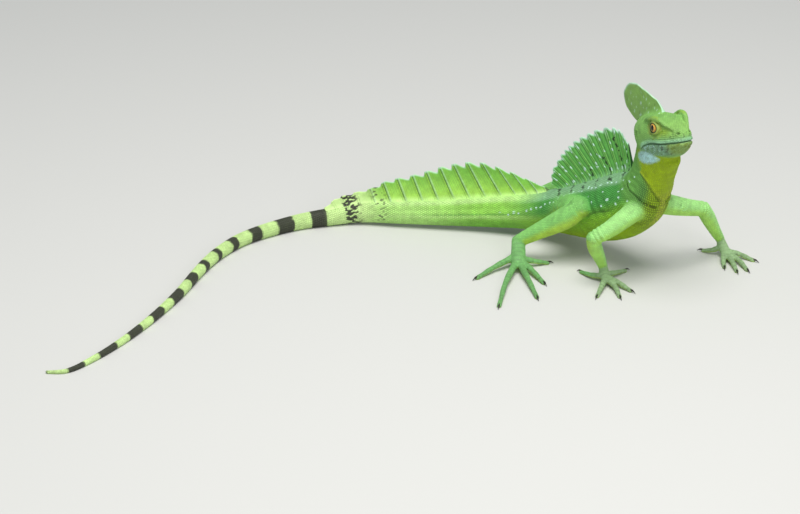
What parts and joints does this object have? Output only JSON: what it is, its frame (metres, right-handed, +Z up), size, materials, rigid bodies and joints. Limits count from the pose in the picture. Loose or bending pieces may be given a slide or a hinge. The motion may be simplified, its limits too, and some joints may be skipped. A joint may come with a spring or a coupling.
{
  "type": "green basilisk lizard",
  "caption": "Male green basilisk standing alert, with head casque, sail fins on back and tail, long toes and a banded tail swept to one side.",
  "frame": {"origin": "middle of the animal's footprint, on the floor", "axes": "+Z up; +X runs from the tail towards the head, along the animal's longest side; +Y is the side its left hind leg is on"},
  "size_m": [0.4848, 0.3396, 0.1371],
  "materials": {
    "skin": "scaly, satin, leaf green with a lime belly and a dark banded tail",
    "crest": "thin scaly membrane over rays, satin green with pale blue spots",
    "eye": "wet gloss, amber iris with a black pupil"
  },
  "bodies": {
    "root": {"dorsal_crest": "crest", "eye_left": "eye", "eye_right": "eye", "front_left_foot": "skin", "front_left_lower_leg": "skin", "front_left_upper_leg": "skin", "front_right_foot": "skin", "front_right_lower_leg": "skin", "front_right_upper_leg": "skin", "head": "skin", "head_crest": "crest", "hind_left_foot": "skin", "hind_left_lower_leg": "skin", "hind_left_upper_leg": "skin", "hind_right_foot": "skin", "hind_right_lower_leg": "skin", "hind_right_upper_leg": "skin", "neck": "skin", "tail_1": "skin", "tail_2": "skin", "tail_3": "skin", "tail_4": "skin", "tail_5": "skin", "tail_6": "skin", "tail_crest": "crest", "torso": "skin"}
  },
  "joints": []
}
